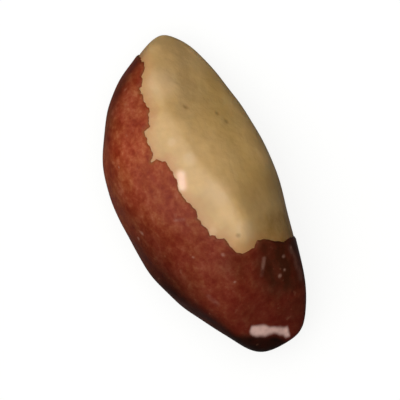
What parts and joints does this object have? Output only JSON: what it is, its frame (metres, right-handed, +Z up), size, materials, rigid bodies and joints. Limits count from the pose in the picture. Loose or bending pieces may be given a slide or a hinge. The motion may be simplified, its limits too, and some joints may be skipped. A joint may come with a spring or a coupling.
{
  "type": "shelled brazil nut kernel",
  "caption": "Shelled Brazil nut kernel, long and three-sided, pointed at one end and blunt at the other, half covered by torn red-brown skin.",
  "frame": {"origin": "bottom centre of the nut's box, on the plane of the flat spot that it rests on", "axes": "+X along the nut from the pointed end to the blunt end, +Y towards the bare side, +Z up"},
  "size_m": [0.0364, 0.0178, 0.0137],
  "materials": {
    "kernel": "waxy cream nut kernel, satin, with thin red-brown skin on about half of it",
    "skin": "thin satin red-brown seed skin, the layer that is torn away on the bare side"
  },
  "bodies": {
    "root": {"kernel": "kernel"}
  },
  "joints": []
}
